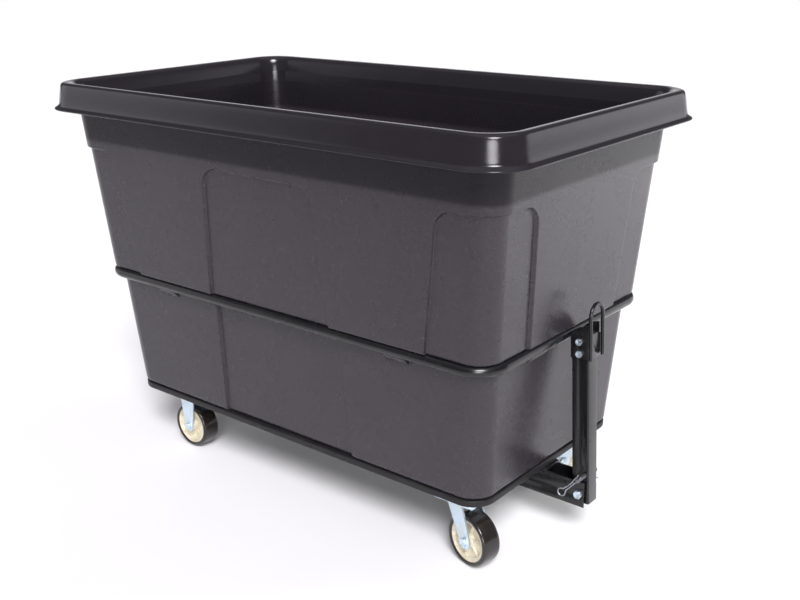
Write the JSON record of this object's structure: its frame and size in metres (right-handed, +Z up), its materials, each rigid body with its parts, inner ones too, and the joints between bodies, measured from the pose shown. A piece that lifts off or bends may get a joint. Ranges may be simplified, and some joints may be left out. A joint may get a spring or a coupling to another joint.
{
  "type": "bulk cube truck",
  "caption": "Tapered open-top moulded plastic bulk truck with a steel band, a deck on rigid and swivel casters, and a folding tow bar with a lift loop.",
  "frame": {"origin": "on the floor under the middle of the truck", "axes": "+Z up, +X toward the end that carries the tow bar"},
  "size_m": [1.46, 0.86, 1.022],
  "materials": {
    "tub_plastic": "satin black rotomoulded polyethylene",
    "deck_board": "black-painted plywood",
    "black_steel": "gloss black enamel",
    "zinc_steel": "bright zinc plate",
    "dark_steel": "dark oiled steel",
    "tread": "glossy moulded polyurethane",
    "hub_plastic": "cream moulded polyolefin",
    "nylon": "black nylon"
  },
  "bodies": {
    "truck": {"tub": "tub_plastic", "base_deck": "deck_board", "frame_band": "black_steel", "hitch_channel": "black_steel", "channel_bolt_1": "zinc_steel", "channel_bolt_2": "zinc_steel", "channel_bolt_3": "zinc_steel", "front_left_plate": "zinc_steel", "front_left_kingpin": "zinc_steel", "front_left_plate_bolt_1": "zinc_steel", "front_left_plate_bolt_2": "zinc_steel", "front_left_plate_bolt_3": "zinc_steel", "front_left_plate_bolt_4": "zinc_steel", "front_right_plate": "zinc_steel", "front_right_kingpin": "zinc_steel", "front_right_plate_bolt_1": "zinc_steel", "front_right_plate_bolt_2": "zinc_steel", "front_right_plate_bolt_3": "zinc_steel", "front_right_plate_bolt_4": "zinc_steel", "rear_left_fork": "zinc_steel", "rear_left_axle_bolt": "zinc_steel", "rear_left_axle_nut": "zinc_steel", "rear_left_plate_bolt_1": "zinc_steel", "rear_left_plate_bolt_2": "zinc_steel", "rear_left_plate_bolt_3": "zinc_steel", "rear_left_plate_bolt_4": "zinc_steel", "rear_right_fork": "zinc_steel", "rear_right_axle_bolt": "zinc_steel", "rear_right_axle_nut": "zinc_steel", "rear_right_plate_bolt_1": "zinc_steel", "rear_right_plate_bolt_2": "zinc_steel", "rear_right_plate_bolt_3": "zinc_steel", "rear_right_plate_bolt_4": "zinc_steel", "pivot_bolt": "zinc_steel", "pivot_nut": "zinc_steel", "pivot_spacer_left": "nylon", "pivot_spacer_right": "nylon"},
    "front_left_wheel": {"front_left_hub": "hub_plastic", "front_left_tread": "tread"},
    "front_left_swivel": {"front_left_fork": "zinc_steel", "front_left_axle_bolt": "zinc_steel", "front_left_axle_nut": "zinc_steel"},
    "front_right_wheel": {"front_right_hub": "hub_plastic", "front_right_tread": "tread"},
    "front_right_swivel": {"front_right_fork": "zinc_steel", "front_right_axle_bolt": "zinc_steel", "front_right_axle_nut": "zinc_steel"},
    "rear_left_wheel": {"rear_left_hub": "hub_plastic", "rear_left_tread": "tread"},
    "rear_right_wheel": {"rear_right_hub": "hub_plastic", "rear_right_tread": "tread"},
    "tow_bar": {"tow_bar": "black_steel", "coupler_sleeve": "black_steel", "coupler_loop": "black_steel", "sleeve_bolt_1": "zinc_steel", "sleeve_bolt_2": "zinc_steel", "sleeve_nut_1": "zinc_steel", "sleeve_nut_2": "zinc_steel"},
    "lock_pin": {"lock_pin": "dark_steel"},
    "r_clip": {"r_clip": "zinc_steel"}
  },
  "joints": [
    {"name": "front_left_swivel_turn", "type": "hinge", "parent": "truck", "child": "front_left_swivel", "pos_m": [0.512, 0.243, 0.15], "axis": [0, 0, 1], "continuous": true},
    {"name": "front_left_wheel_spin", "type": "hinge", "parent": "front_left_swivel", "child": "front_left_wheel", "pos_m": [0.49015, 0.21695, 0.0635], "axis": [0.766, -0.6428, 0], "continuous": true},
    {"name": "rear_left_wheel_spin", "type": "hinge", "parent": "truck", "child": "rear_left_wheel", "pos_m": [-0.432, 0.233, 0.0635], "axis": [0, 1, 0], "continuous": true},
    {"name": "front_right_swivel_turn", "type": "hinge", "parent": "truck", "child": "front_right_swivel", "pos_m": [0.512, -0.243, 0.15], "axis": [0, 0, 1], "continuous": true},
    {"name": "front_right_wheel_spin", "type": "hinge", "parent": "front_right_swivel", "child": "front_right_wheel", "pos_m": [0.54522, -0.25024, 0.0635], "axis": [0.213, 0.977, 0], "continuous": true},
    {"name": "rear_right_wheel_spin", "type": "hinge", "parent": "truck", "child": "rear_right_wheel", "pos_m": [-0.432, -0.233, 0.0635], "axis": [0, 1, 0], "continuous": true},
    {"name": "tow_bar_fold", "type": "hinge", "parent": "truck", "child": "tow_bar", "pos_m": [0.6863, 0, 0.1253], "axis": [0, 1, 0], "range_deg": [0, 93]},
    {"name": "lock_pin_slide", "type": "slide", "parent": "tow_bar", "child": "lock_pin", "axis": [0, 1, 0], "range_m": [0, 0.01]},
    {"name": "r_clip_pull", "type": "slide", "parent": "lock_pin", "child": "r_clip", "axis": [-0.6461, 0, -0.7632], "range_m": [0, 0.045]}
  ]
}
